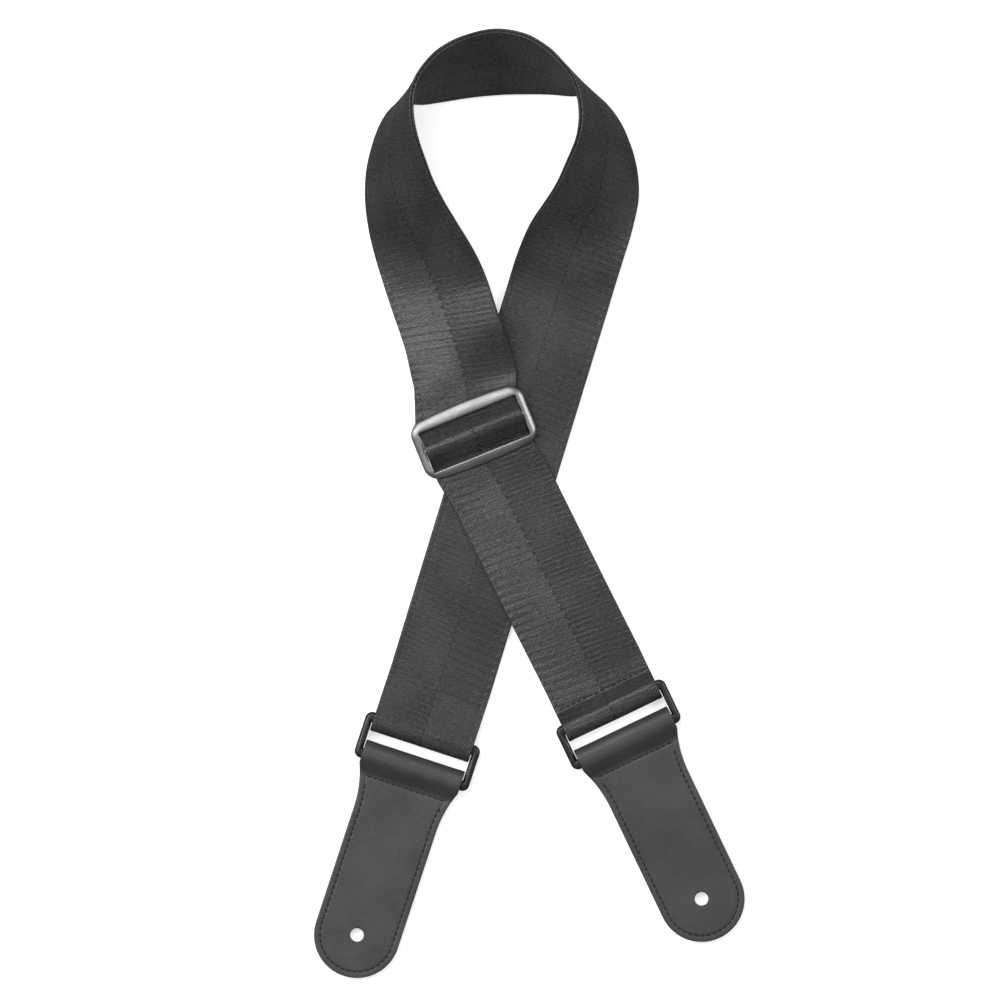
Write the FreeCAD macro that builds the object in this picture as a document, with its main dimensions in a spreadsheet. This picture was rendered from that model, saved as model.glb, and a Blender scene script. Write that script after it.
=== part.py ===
"""Adjustable guitar strap laid flat, with its slider, two plastic rings and two leather end tabs.

Millimetres. X runs across the strap as it lies, Y runs from the tabs to the neck loop and Z is up.
The origin is on the resting surface, under the middle of the whole strap.
"""
import FreeCAD, Part
import math
import os
import Sketcher
from FreeCAD import Placement, Rotation, Vector

os.makedirs("parts", exist_ok=True)
doc = FreeCAD.newDocument("guitar_strap")

# ---------------------------------------------------------------- driving dimensions
DIMENSIONS = [
    ("webbing_width", 50.0),
    ("webbing_ply", 1.3),
    ("ply_gap", 0.2),
    ("fit_gap", 0.3),
    ("ring_length", 58.0),
    ("ring_height", 23.0),
    ("ring_thick", 5.0),
    ("ring_window_length", 50.7),
    ("ring_window_height", 13.0),
    ("ring_corner", 3.4),
    ("ring_edge_round", 1.7),
    ("bar_wrap_inner", 3.2),
    ("fold_slack", 2.0),
    ("leather_ply", 1.9),
    ("tab_fold_width", 50.0),
    ("tab_width", 41.6),
    ("shoulder_reach", 4.2),
    ("waist_reach", 26.0),
    ("hole_reach", 84.3),
    ("hole_diameter", 6.5),
    ("tab_seam_reach", 9.7),
    ("seam_inset", 3.0),
    ("stitch_pitch", 3.0),
    ("stitch_long", 2.3),
    ("stitch_wide", 0.6),
    ("stitch_high", 0.35),
    ("slider_length", 58.0),
    ("slider_height", 31.6),
    ("slider_bow", 1.6),
    ("slider_thick", 2.6),
    ("slider_window", 50.4),
    ("slider_bar", 3.2),
    ("slider_top_bar", 6.3),
    ("slider_bottom_bar", 4.8),
    ("slider_corner", 6.5),
    ("slider_bevel", 0.7),
    ("slider_bar_round", 1.1),
    ("slider_tilt", 5.0),
    ("loop_inner", 1.8),
    ("loop_tail", 13.5),
    ("fold_tail", 13.5),
]

sheet = doc.addObject("Spreadsheet::Sheet", "sheet")
for row, (alias, value) in enumerate(DIMENSIONS, start=1):
    sheet.set(f"A{row}", alias)
    sheet.set(f"B{row}", str(value))
    sheet.setAlias(f"B{row}", alias)
doc.recompute()


def size(alias):
    """The value of one driving dimension."""
    return float(sheet.get(alias))


WIDTH = size("webbing_width")
PLY = size("webbing_ply")
PITCH = PLY + size("ply_gap")
LEATHER = size("leather_ply")

# Heights of the middle of each ply where the strap lies flat.
LOWER_PLY = 0.7
PAIR_MIDDLE = LOWER_PLY + PITCH / 2
CROSSING_PLY = LOWER_PLY + PITCH * 2 + 0.1
BAR_HEIGHT = size("bar_wrap_inner") + LEATHER
BAR_SPACING = size("ring_height") - size("ring_thick")
WRAP = size("bar_wrap_inner") + PLY / 2

# The lower edges of the neck loop stand this much clear of the surface.
NECK_LIFT = 0.35

# The middle of the strap as it lies, and the places of the fittings measured from it.
MIDDLE = Vector(-0.63, -0.31, 0)
SLIDER_AT = Vector(-27.4, 34.0, 8.5) - MIDDLE
RING_RIGHT_AT = Vector(42.4, -107.0, BAR_HEIGHT) - MIDDLE
RING_LEFT_AT = Vector(-54.7, -120.0, BAR_HEIGHT) - MIDDLE
SLIDER_TURN = 22.0
RING_RIGHT_TURN = 25.5
RING_LEFT_TURN = -18.2

# Neck loop, from above the slider round to the straight right leg. Each row is one line across the
# webbing: the lower edge (x, y) on the table, then the raised edge (x, y, height above the lower one).
NECK = [
    (-59.8, 72.0, -14.2, 84.5, 14.0),
    (-66.5, 92.5, -21.0, 106.5, 15.5),
    (-71.0, 106.5, -29.0, 122.0, 21.5),
    (-75.0, 120.0, -36.0, 135.0, 27.5),
    (-77.8, 133.0, -42.2, 145.5, 33.0),
    (-79.2, 146.5, -47.3, 155.0, 37.7),
    (-78.6, 160.0, -51.3, 165.0, 41.6),
    (-75.5, 173.0, -55.0, 176.0, 45.5),
    (-71.3, 183.5, -57.2, 187.0, 47.9),
    (-66.0, 190.5, -57.0, 197.0, 48.8),
    (-60.0, 193.3, -54.8, 204.5, 48.5),
    (-52.0, 193.2, -50.5, 211.2, 46.6),
    (-42.0, 194.6, -43.3, 218.3, 44.0),
    (-29.5, 196.5, -32.5, 224.0, 41.6),
    (-15.6, 197.7, -17.5, 227.5, 40.1),
    (-4.5, 198.2, -3.0, 225.2, 42.1),
    (8.0, 198.2, 8.0, 218.6, 45.6),
    (18.5, 197.4, 14.2, 212.5, 47.5),
    (26.5, 197.2, 17.3, 209.0, 47.6),
    (33.0, 194.5, 19.8, 205.5, 46.9),
    (38.5, 189.0, 22.2, 199.5, 46.1),
    (43.0, 182.5, 23.7, 192.5, 45.0),
    (46.3, 175.5, 23.9, 184.0, 43.9),
    (49.2, 167.5, 22.3, 175.0, 41.5),
    (51.2, 158.0, 18.6, 166.0, 37.0),
    (51.6, 146.5, 13.0, 154.0, 30.9),
    (49.0, 133.0, 6.7, 144.2, 24.1),
    (45.2, 119.5, -1.0, 132.6, 13.5),
    (41.0, 105.5, -7.0, 118.6, 5.0),
]


# ---------------------------------------------------------------- helpers
def turned(degrees_z, degrees_x=0.0):
    """Turned about the vertical, after a tilt about the part's own long axis."""
    return Rotation(Vector(0, 0, 1), degrees_z) * Rotation(Vector(1, 0, 0), degrees_x)


def plane_of(body, role):
    """One of a body's own origin planes."""
    return [item for item in body.Origin.OriginFeatures if item.Role == role][0]


def new_body(label, placement):
    body = doc.addObject("PartDesign::Body", label)
    body.Label = label
    body.Placement = placement
    return body


def sketch_on(body, name, role):
    sketch = body.newObject("Sketcher::SketchObject", name)
    sketch.AttachmentSupport = [(plane_of(body, role), "")]
    sketch.MapMode = "FlatFace"
    return sketch


def rectangle(body, name, left, right, bottom, top):
    """A rectangle on the body's XY plane; each side is bound to an expression of the sheet."""
    sketch = sketch_on(body, name, "XY_Plane")
    corners = [Vector(-2, -1, 0), Vector(2, -1, 0), Vector(2, 1, 0), Vector(-2, 1, 0)]
    for start, end in zip(corners, corners[1:] + corners[:1]):
        sketch.addGeometry(Part.LineSegment(start, end))
    for side in range(4):
        sketch.addConstraint(Sketcher.Constraint("Coincident", side, 2, (side + 1) % 4, 1))
    for side, kind in enumerate(("Horizontal", "Vertical", "Horizontal", "Vertical")):
        sketch.addConstraint(Sketcher.Constraint(kind, side))
    sides = (("DistanceX", 0, left, -2.0), ("DistanceX", 1, right, 2.0),
             ("DistanceY", 0, bottom, -1.0), ("DistanceY", 2, top, 1.0))
    for kind, line, expression, guess in sides:
        index = sketch.addConstraint(Sketcher.Constraint(kind, -1, 1, line, 1, guess))
        sketch.setExpression(f"Constraints[{index}]", expression)
    return sketch


def pad(body, name, sketch, length):
    """Adds material to both sides of the sketch."""
    feature = body.newObject("PartDesign::Pad", name)
    feature.Profile = sketch
    feature.SideType = "Symmetric"
    feature.setExpression("Length", length)
    doc.recompute()
    return feature


def pocket(body, name, sketch):
    """Cuts right through, both ways, and checks that something was taken away."""
    before = body.Shape.Volume
    feature = body.newObject("PartDesign::Pocket", name)
    feature.Profile = sketch
    feature.Type = "ThroughAll"
    feature.SideType = "Symmetric"
    doc.recompute()
    if body.Shape.Volume > before - 1.0:
        raise RuntimeError(f"{body.Label}: {name} removed nothing")
    return feature


def dress(body, kind, name, base, edges, prop, expression):
    """A fillet or chamfer on some edges of a feature."""
    feature = body.newObject(f"PartDesign::{kind}", name)
    feature.Base = (base, edges)
    feature.setExpression(prop, expression)
    doc.recompute()
    return feature


def edges_where(shape, test):
    return [f"Edge{number}" for number, edge in enumerate(shape.Edges, start=1) if test(edge)]


def is_upright(edge):
    """True for a straight edge along the part's own Z."""
    if not isinstance(edge.Curve, Part.Line):
        return False
    return abs(edge.Curve.Direction.z) > 0.999


def close_profile(sketch, points, arcs):
    """Straight sides through the points; arcs maps a side's number to the middle point of its arc."""
    count = len(points)
    for number, start in enumerate(points):
        end = points[(number + 1) % count]
        if number in arcs:
            sketch.addGeometry(Part.Arc(start, arcs[number], end))
        else:
            sketch.addGeometry(Part.LineSegment(start, end))

    def end_at(number, place):
        """Which end of a side, 1 or 2, lies at the place."""
        return min((1, 2), key=lambda end: (sketch.getPoint(number, end) - place).Length)

    for number in range(count):
        following = (number + 1) % count
        place = points[following]
        joint = (number, end_at(number, place), following, end_at(following, place))
        sketch.addConstraint(Sketcher.Constraint("Coincident", *joint))


def fold_profile(sketch, inner, ply, slack, closing, reach, gap, drop=0.0, descent=0.0):
    """Side view of a ply folded round a bar at the origin, with both legs running level to `reach`.

    The bend is centred `slack` beyond the bar. The lower leg leaves it at the `descent` angle until it
    is `drop` below the bend. The upper leg turns over the bar, slopes down to meet the lower one at
    `closing` and then runs beside it with `gap` between them.
    """
    outer = inner + ply
    floor = -outer - drop
    levels = (floor, floor + ply, floor + ply + gap, floor + 2 * ply + gap)
    lean = math.atan2(levels[2], closing) + math.acos(inner / math.hypot(closing, levels[2]))
    away = Vector(math.cos(lean), math.sin(lean), 0)
    under = Vector(-math.sin(descent), -math.cos(descent), 0)
    bend = Vector(-slack, 0, 0)
    behind = Vector(-math.cos(descent / 2), math.sin(descent / 2), 0)
    shoulder = Vector(math.cos((lean + math.pi / 2) / 2), math.sin((lean + math.pi / 2) / 2), 0)

    def upper_corner(radius, level):
        start = away * radius
        return Vector(start.x + (start.y - level) * math.tan(lean), level, 0)

    def lower_corner(radius, level):
        start = bend + under * radius
        if drop == 0:
            return []
        return [Vector(start.x + (start.y - level) / math.tan(descent), level, 0)]

    def over_bar(radius):
        """From the bend's top to the point above the bar, which are one point without slack."""
        above = Vector(0, radius, 0)
        return [above] if slack == 0 else [bend + above, above]

    points = [Vector(reach, levels[0], 0)] + lower_corner(outer, levels[0])
    arcs = {len(points): bend + behind * outer}
    points += [bend + under * outer] + over_bar(outer)
    arcs[len(points) - 1] = shoulder * outer
    points += [away * outer, upper_corner(outer, levels[3])]
    points += [Vector(reach, levels[3], 0), Vector(reach, levels[2], 0), upper_corner(inner, levels[2])]
    arcs[len(points)] = shoulder * inner
    points += [away * inner] + over_bar(inner)[::-1]
    arcs[len(points) - 1] = bend + behind * inner
    points += [bend + under * inner] + lower_corner(inner, levels[1])
    points += [Vector(reach, levels[1], 0)]
    close_profile(sketch, points, arcs)


def framed(stations):
    """Adds the outer face's direction to each (middle, across) station."""
    frames = []
    for number, (middle, across) in enumerate(stations):
        before = stations[max(number - 1, 0)][0]
        after = stations[min(number + 1, len(stations) - 1)][0]
        frames.append((middle, across, across.cross(after - before).normalize()))
    return frames


def shifted(frames, distance):
    """The same frames moved out through the outer face."""
    return [(middle + normal * distance, across, normal) for middle, across, normal in frames]


def spline(values, number, share):
    """Catmull-Rom curve through a list, at `share` of the way from one value to the next."""
    last = len(values) - 1
    p0, p1, p2, p3 = (values[min(max(number + step, 0), last)] for step in (-1, 0, 1, 2))
    curve = p1 * 2 + (p2 - p0) * share + (p0 * 2 - p1 * 5 + p2 * 4 - p3) * share**2
    return (curve + (p1 * 3 - p0 - p2 * 3 + p3) * share**3) * 0.5


def refined(stations):
    """The same run with one station added half way between each two."""
    middles = [middle for middle, across in stations]
    directions = [across for middle, across in stations]
    dense = []
    for number in range(len(stations) - 1):
        dense.append(stations[number])
        across = spline(directions, number, 0.5).normalize()
        dense.append((spline(middles, number, 0.5), across))
    return dense + [stations[-1]]


def band(label, frames):
    """A flat band of webbing through a run of frames, as one closed solid."""
    sections = []
    for middle, across, normal in frames:
        side = across * (WIDTH / 2)
        rise = normal * (PLY / 2)
        corners = [middle - side - rise, middle + side - rise, middle + side + rise, middle - side + rise]
        sections.append(Part.makePolygon(corners + corners[:1]))
    feature = doc.addObject("Part::Feature", label)
    feature.Label = label
    feature.Shape = Part.makeLoft(sections, True, True)
    return feature


def neck_station(row):
    """Middle and direction across for one row of the neck list."""
    lower = Vector(row[0], row[1], PAIR_MIDDLE + NECK_LIFT) - MIDDLE
    raised = Vector(row[2], row[3], PAIR_MIDDLE + NECK_LIFT + row[4]) - MIDDLE
    across = (raised - lower).normalize()
    return lower + across * (WIDTH / 2), across


def heading_direction(turn):
    """Level direction `turn` degrees from +Y towards -X."""
    return Vector(-math.sin(math.radians(turn)), math.cos(math.radians(turn)), 0)


def flat_station(origin, turn, distance, height):
    """A level line across a strand that runs `turn` degrees from +Y towards -X."""
    across = Vector(math.cos(math.radians(turn)), math.sin(math.radians(turn)), 0)
    place = origin + heading_direction(turn) * distance
    return Vector(place.x, place.y, height), across


# ---------------------------------------------------------------- strands of webbing
SHOULDER = math.radians(51.4)
FAR_SHOULDER = math.radians(134.9)
HUMP = size("loop_inner") + PLY * 1.5 + size("fit_gap")
UNDER_TOP_BAR = CROSSING_PLY + PITCH * 2 + 0.3
UNDER_BOTTOM_BAR = 4.65
RIGHT_STRAND_TURN = 26.0
LEFT_STRAND_TURN = -17.1
LOOP_CLOSING = 7.6
LOOP_DESCENT = math.radians(20.0)
LOOP_SEAM = 12.0


def slider_station(distance, height):
    return flat_station(SLIDER_AT, SLIDER_TURN, distance, height)


def above_slider(distance, aside, turn, height):
    """A level line above the slider's middle bar, moved `aside` along the slider's own length."""
    sideways = heading_direction(SLIDER_TURN - 90.0) * aside
    return flat_station(SLIDER_AT + sideways + heading_direction(SLIDER_TURN) * distance, turn, 0, height)


def hump_station(angle):
    """On the bend of the outer ply over the slider's middle bar."""
    distance = HUMP * math.cos(angle)
    return slider_station(distance, SLIDER_AT.z + HUMP * math.sin(angle))


neck = [neck_station(row) for row in NECK]
right_leg_end = neck[-1][0]
left_bar_direction = heading_direction(RING_LEFT_TURN)
left_bar = RING_LEFT_AT + left_bar_direction * (BAR_SPACING / 2)
right_bar_direction = heading_direction(RING_RIGHT_TURN)
right_bar = RING_RIGHT_AT + right_bar_direction * (BAR_SPACING / 2)
LEFT_FOLD_REACH = 28.0
left_fold_start = left_bar + left_bar_direction * LEFT_FOLD_REACH
back_run = Vector(right_leg_end.x - left_fold_start.x, right_leg_end.y - left_fold_start.y, 0)
back_strand = []
for share, lift in ((0.93, 0.5), (0.84, 0.1), (0.7, 0.0), (0.45, 0.0), (0.2, 0.0)):
    place = left_fold_start + back_run * share
    back_strand.append(flat_station(place, LEFT_STRAND_TURN, 0, PAIR_MIDDLE + lift))
back_strand.append(flat_station(left_fold_start, RING_LEFT_TURN, 0, PAIR_MIDDLE))
back_strand = [(middle, across * -1) for middle, across in back_strand]
pair = framed(refined(neck + back_strand))
outer_route = shifted(pair, PITCH / 2)
inner_route = shifted(pair, -PITCH / 2)

FOLD_END = size("fold_slack") + size("bar_wrap_inner") + PLY
SEAM_REACH = 16.0 - FOLD_END
strand_end = right_bar + right_bar_direction * size("fold_tail")
fold_strand_height = BAR_HEIGHT - WRAP + PITCH

front_strand = [
    flat_station(strand_end, RING_RIGHT_TURN, 0, fold_strand_height),
    flat_station(strand_end, RING_RIGHT_TURN, 8, fold_strand_height),
]
run = Vector(SLIDER_AT.x - strand_end.x, SLIDER_AT.y - strand_end.y, 0)
for share in (0.25, 0.45, 0.65, 0.77):
    front_strand.append(flat_station(strand_end + run * share, RIGHT_STRAND_TURN, 0, CROSSING_PLY))
front_strand += [
    slider_station(-16.5, UNDER_BOTTOM_BAR),
    slider_station(-13.0, UNDER_BOTTOM_BAR),
    slider_station(-10.2, UNDER_BOTTOM_BAR),
    slider_station(-8.0, 5.95),
    hump_station(FAR_SHOULDER),
    hump_station(math.radians(112)),
    hump_station(math.radians(90)),
]
upper_strand = [
    hump_station(math.radians(70)),
    hump_station(SHOULDER),
    slider_station(7.0, UNDER_TOP_BAR + 1.0),
    slider_station(9.2, UNDER_TOP_BAR),
    above_slider(13.0, 1.4, 20.0, UNDER_TOP_BAR + 0.2),
    above_slider(17.0, 3.3, 18.0, UNDER_TOP_BAR + 0.3),
    above_slider(26.0, 5.8, 15.0, UNDER_TOP_BAR + 0.2),
]
over_slider = framed(front_strand + upper_strand + [outer_route[0][:2]])
over_slider[-1] = outer_route[0]
crest = len(front_strand) - 1
return_strand = framed([
    inner_route[0][:2],
    above_slider(30.0, 6.6, 14.5, CROSSING_PLY + 0.6),
    above_slider(20.0, 3.0, 18.0, CROSSING_PLY),
    slider_station(size("loop_tail") + size("fit_gap"), CROSSING_PLY),
])
return_strand = [(middle, across, normal * -1) for middle, across, normal in return_strand]
return_strand[0] = inner_route[0]

band("webbing_front_strand", over_slider[:crest + 1])
band("webbing_upper_strand", over_slider[crest:])
band("webbing_neck_outer", outer_route)
band("webbing_neck_return", inner_route)
band("webbing_return_strand", return_strand)


def webbing_fold(label, bar, turn, inner, reach, closing, slack, drop=0.0, descent=0.0):
    """A ply of webbing wrapped round a bar; its legs run along the part's own +Y."""
    body = new_body(label, Placement(bar, turned(turn)))
    side = sketch_on(body, label + "_side", "YZ_Plane")
    fold_profile(side, inner, PLY, slack, closing, reach, size("ply_gap"), drop, descent)
    pad(body, label + "_width", side, "sheet.webbing_width")
    return body


webbing_fold("webbing_fold_right", right_bar, RING_RIGHT_TURN, size("bar_wrap_inner"),
             size("fold_tail"), SEAM_REACH - 1.6, size("fold_slack"))
webbing_fold("webbing_fold_left", left_bar, RING_LEFT_TURN, size("bar_wrap_inner"),
             LEFT_FOLD_REACH, 20.0, size("fold_slack"))


# ---------------------------------------------------------------- rings
def ring(label, centre, turn):
    """A moulded rectangular ring; its long bars run along the part's own X."""
    body = new_body(label, Placement(centre, turned(turn)))
    outline = rectangle(body, label + "_outline", "-sheet.ring_length / 2", "sheet.ring_length / 2",
                        "-sheet.ring_height / 2", "sheet.ring_height / 2")
    plate = pad(body, label + "_plate", outline, "sheet.ring_thick")
    corners = edges_where(plate.Shape, is_upright)
    dress(body, "Fillet", label + "_corners", plate, corners, "Radius", "sheet.ring_corner")
    window = rectangle(body, label + "_window",
                       "-sheet.ring_window_length / 2", "sheet.ring_window_length / 2",
                       "-sheet.ring_window_height / 2", "sheet.ring_window_height / 2")
    opening = pocket(body, label + "_opening", window)
    rims = edges_where(opening.Shape, lambda edge: not is_upright(edge))
    dress(body, "Fillet", label + "_rounding", opening, rims, "Radius", "sheet.ring_edge_round")
    return body


RINGS = (("right", RING_RIGHT_AT, RING_RIGHT_TURN), ("left", RING_LEFT_AT, RING_LEFT_TURN))
for name, centre, turn in RINGS:
    ring("ring_" + name, centre, turn)


# ---------------------------------------------------------------- slider
def slider(label):
    """A cast two-slot slider with a beveled rim and slightly bowed long sides."""
    body = new_body(label, Placement(SLIDER_AT, turned(SLIDER_TURN, size("slider_tilt"))))
    half_long = size("slider_length") / 2
    half_high = size("slider_height") / 2
    bow = size("slider_bow")
    outline = sketch_on(body, label + "_outline", "XY_Plane")
    corners = [Vector(half_long, half_high - bow, 0), Vector(-half_long, half_high - bow, 0),
               Vector(-half_long, bow - half_high, 0), Vector(half_long, bow - half_high, 0)]
    close_profile(outline, corners, {0: Vector(0, half_high, 0), 2: Vector(0, -half_high, 0)})
    plate = pad(body, label + "_plate", outline, "sheet.slider_thick")
    upright = edges_where(plate.Shape, is_upright)
    rounded = dress(body, "Fillet", label + "_corners", plate, upright, "Radius", "sheet.slider_corner")
    rims = edges_where(rounded.Shape, lambda edge: not is_upright(edge))
    dress(body, "Chamfer", label + "_bevel", rounded, rims, "Size", "sheet.slider_bevel")
    slots = (("upper", "sheet.slider_bar / 2", "sheet.slider_height / 2 - sheet.slider_top_bar"),
             ("lower", "sheet.slider_bottom_bar - sheet.slider_height / 2", "-sheet.slider_bar / 2"))
    for name, bottom, top in slots:
        window = rectangle(body, f"{label}_{name}_slot",
                           "-sheet.slider_window / 2", "sheet.slider_window / 2", bottom, top)
        opening = pocket(body, f"{label}_{name}_opening", window)
    half_bar = size("slider_bar") / 2

    def along_bar(edge):
        middle = edge.CenterOfMass
        level = abs(abs(middle.z) - size("slider_thick") / 2) < 0.01
        return level and abs(abs(middle.y) - half_bar) < 0.01 and edge.Length > half_long

    bar_edges = edges_where(opening.Shape, along_bar)
    dress(body, "Fillet", label + "_bar_rounding", opening, bar_edges, "Radius", "sheet.slider_bar_round")
    return body


slider("slider_frame")
LOOP_DROP = SLIDER_AT.z - CROSSING_PLY - size("loop_inner") - PLY / 2
webbing_fold("webbing_slider_loop", SLIDER_AT, SLIDER_TURN, size("loop_inner"), size("loop_tail"),
             LOOP_CLOSING, 0.0, LOOP_DROP, LOOP_DESCENT)


# ---------------------------------------------------------------- leather tabs
ROUND_END = size("tab_width") / 2
FOLD_TIP = size("fold_slack") + size("bar_wrap_inner") + LEATHER
HOLE_REACH = size("hole_reach")


def tab_side(hand, start, inset):
    """One long side of a tab seen from above, on the side `hand`.

    It runs straight past the ring bar to the shoulder, then in a hollow arc to the straight waist,
    which the arc meets without a corner.
    """
    wide = size("tab_fold_width") / 2 - inset
    slim = ROUND_END - inset
    shoulder = size("shoulder_reach")
    waist = size("waist_reach")
    radius = ((waist - shoulder) ** 2 + (wide - slim) ** 2) / (2 * (wide - slim))
    half_way = (waist - shoulder) / 2
    hollow = slim + radius - math.sqrt(radius**2 - half_way**2)
    corners = [Vector(hand * wide, start, 0), Vector(hand * wide, shoulder, 0),
               Vector(hand * slim, waist, 0), Vector(hand * slim, HOLE_REACH, 0)]
    arc = Part.Arc(corners[1], Vector(hand * hollow, waist - half_way, 0), corners[2])
    return [Part.LineSegment(*corners[:2]), arc, Part.LineSegment(*corners[2:])]


def tab_edge(start, inset=0.0):
    """The whole edge of a tab, down one side, round the end and back up the other."""
    slim = ROUND_END - inset
    furthest = Vector(0, HOLE_REACH + slim, 0)
    tip = Part.Arc(Vector(slim, HOLE_REACH, 0), furthest, Vector(-slim, HOLE_REACH, 0))
    return tab_side(1, start, inset) + [tip] + tab_side(-1, start, inset)[::-1]


def tab(label, bar, turn):
    """A strip of leather folded round a bar; its plies run along the part's own +Y."""
    body = new_body(label, Placement(bar, turned(turn)))
    side = sketch_on(body, label + "_side", "YZ_Plane")
    end = HOLE_REACH + ROUND_END
    fold_profile(side, size("bar_wrap_inner"), LEATHER, size("fold_slack"), size("tab_seam_reach") - 2.0,
                 end + 1.0, size("ply_gap"))
    pad(body, label + "_strip", side, "sheet.tab_fold_width")
    trim = sketch_on(body, label + "_trim", "XY_Plane")
    margin = size("tab_fold_width")
    frame = [Vector(margin, -margin, 0), Vector(margin, end + margin, 0),
             Vector(-margin, end + margin, 0), Vector(-margin, -margin, 0)]
    close_profile(trim, frame, {})
    for curve in tab_edge(-FOLD_TIP):
        trim.addGeometry(curve)
    corner = Vector(size("tab_fold_width") / 2, -FOLD_TIP, 0)
    other = Vector(-corner.x, corner.y, 0)
    low = Vector(0, -2, 0)
    for start, finish in ((other, other + low), (other + low, corner + low), (corner + low, corner)):
        trim.addGeometry(Part.LineSegment(start, finish))
    pocket(body, label + "_shape", trim)
    hole = sketch_on(body, label + "_hole", "XY_Plane")
    hole.addGeometry(Part.Circle(Vector(0, HOLE_REACH, 0), Vector(0, 0, 1), 2.0))
    index = hole.addConstraint(Sketcher.Constraint("Diameter", 0, 4.0))
    hole.setExpression(f"Constraints[{index}]", "sheet.hole_diameter")
    pocket(body, label + "_button_hole", hole)
    return body


def stitches(label, placement, wire, height, start=-1000.0):
    """One flat-bottomed stitch per pitch along a wire, from y = `start` on, all at one level."""
    corner = Vector(-size("stitch_long") / 2, -size("stitch_wide") / 2, height)
    template = Part.makeBox(size("stitch_long"), size("stitch_wide"), size("stitch_high"), corner)
    count = round(wire.Length / size("stitch_pitch"))
    marks = wire.discretize(Number=count * 2 + 1)
    laid = []
    for before, middle, after in zip(marks[0::2], marks[1::2], marks[2::2]):
        if middle.y < start:
            continue
        one = template.copy()
        angle = math.degrees(math.atan2(after.y - before.y, after.x - before.x))
        one.Placement = Placement(Vector(middle.x, middle.y, 0), Rotation(Vector(0, 0, 1), angle))
        laid.append(one)
    feature = doc.addObject("Part::Feature", label)
    feature.Label = label
    feature.Shape = Part.makeCompound(laid)
    feature.Placement = placement
    return feature


def across_wire(reach, half_width):
    return Part.Wire([Part.makeLine(Vector(-half_width, reach, 0), Vector(half_width, reach, 0))])


for name, centre, turn in RINGS:
    bar = centre - heading_direction(turn) * (BAR_SPACING / 2)
    place = Placement(bar, turned(turn + 180.0))
    tab("tab_" + name, bar, turn + 180.0)
    face = -size("bar_wrap_inner") + size("ply_gap") + LEATHER
    inset = size("seam_inset")
    seam_start = size("tab_seam_reach") + size("stitch_pitch")
    edge = Part.Wire([curve.toShape() for curve in tab_edge(-FOLD_TIP, inset)])
    stitches(f"tab_{name}_edge_seam", place, edge, face, seam_start)
    stitches(f"tab_{name}_fold_seam", place, across_wire(size("tab_seam_reach"), ROUND_END - 1.0), face)

webbing_face = -size("bar_wrap_inner") + size("ply_gap") + PLY
stitches("webbing_seam_right", Placement(right_bar, turned(RING_RIGHT_TURN)),
         across_wire(SEAM_REACH, WIDTH / 2 - 2.0), webbing_face)
loop_face = -size("loop_inner") - LOOP_DROP + size("ply_gap") + PLY
stitches("webbing_seam_slider", Placement(SLIDER_AT, turned(SLIDER_TURN)),
         across_wire(LOOP_SEAM, WIDTH / 2 - 2.0), loop_face)

# ---------------------------------------------------------------- checks and export
doc.recompute()
whole = FreeCAD.BoundBox()
nodes = []
for item in doc.Objects:
    if "Invalid" in item.State or "Error" in item.State:
        raise RuntimeError(f"{item.Label}: {item.State}")
    if item.TypeId in ("PartDesign::Body", "Part::Feature"):
        nodes.append(item)
for item in nodes:
    if item.Shape.isNull() or not item.Shape.isValid() or item.Shape.Volume <= 0:
        raise RuntimeError(f"{item.Label}: bad shape")
    whole.add(item.Shape.BoundBox)
for item in nodes:
    item.Shape.exportStep(f"parts/{item.Label}.step")
    print(item.Label, len(item.Shape.Solids), round(item.Shape.Volume, 1))
print("box", whole)
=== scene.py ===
"""Guitar strap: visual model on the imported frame. Lengths are in millimetres until placed, then metres."""
import math

import bmesh
import bpy
from mathutils import Matrix, Vector, noise


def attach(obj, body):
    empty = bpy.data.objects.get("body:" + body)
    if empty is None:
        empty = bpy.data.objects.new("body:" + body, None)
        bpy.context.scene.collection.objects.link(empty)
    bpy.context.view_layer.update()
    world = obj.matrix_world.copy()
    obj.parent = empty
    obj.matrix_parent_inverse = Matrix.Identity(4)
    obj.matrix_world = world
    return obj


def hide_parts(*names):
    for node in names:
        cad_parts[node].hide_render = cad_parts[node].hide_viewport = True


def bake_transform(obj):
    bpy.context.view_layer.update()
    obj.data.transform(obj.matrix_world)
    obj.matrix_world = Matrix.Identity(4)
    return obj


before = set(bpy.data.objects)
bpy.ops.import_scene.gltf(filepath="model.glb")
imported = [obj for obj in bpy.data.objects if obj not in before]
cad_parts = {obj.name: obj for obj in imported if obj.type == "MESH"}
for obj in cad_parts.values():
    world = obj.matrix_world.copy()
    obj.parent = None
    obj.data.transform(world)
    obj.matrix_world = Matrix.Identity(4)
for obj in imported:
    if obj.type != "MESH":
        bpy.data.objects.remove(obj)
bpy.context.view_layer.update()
MM = 0.001

# ------------------------------------------------------------------ camera
# Straight above the strap with a long lens; the view is slightly off the strap's middle.
VIEW_MIDDLE = Vector((-13.9, 1.45, 0)) * MM
VIEW_WIDTH = 483.5 * MM
CAMERA_HEIGHT = 12.0
camera_data = bpy.data.cameras.new("camera")
camera = bpy.data.objects.new("camera", camera_data)
bpy.context.scene.collection.objects.link(camera)
camera_data.sensor_width = 36.0
camera_data.lens = 36.0 * CAMERA_HEIGHT / VIEW_WIDTH
camera_data.clip_end = 30.0
camera.location = VIEW_MIDDLE + Vector((0, 0, CAMERA_HEIGHT))
bpy.context.scene.camera = camera

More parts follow.
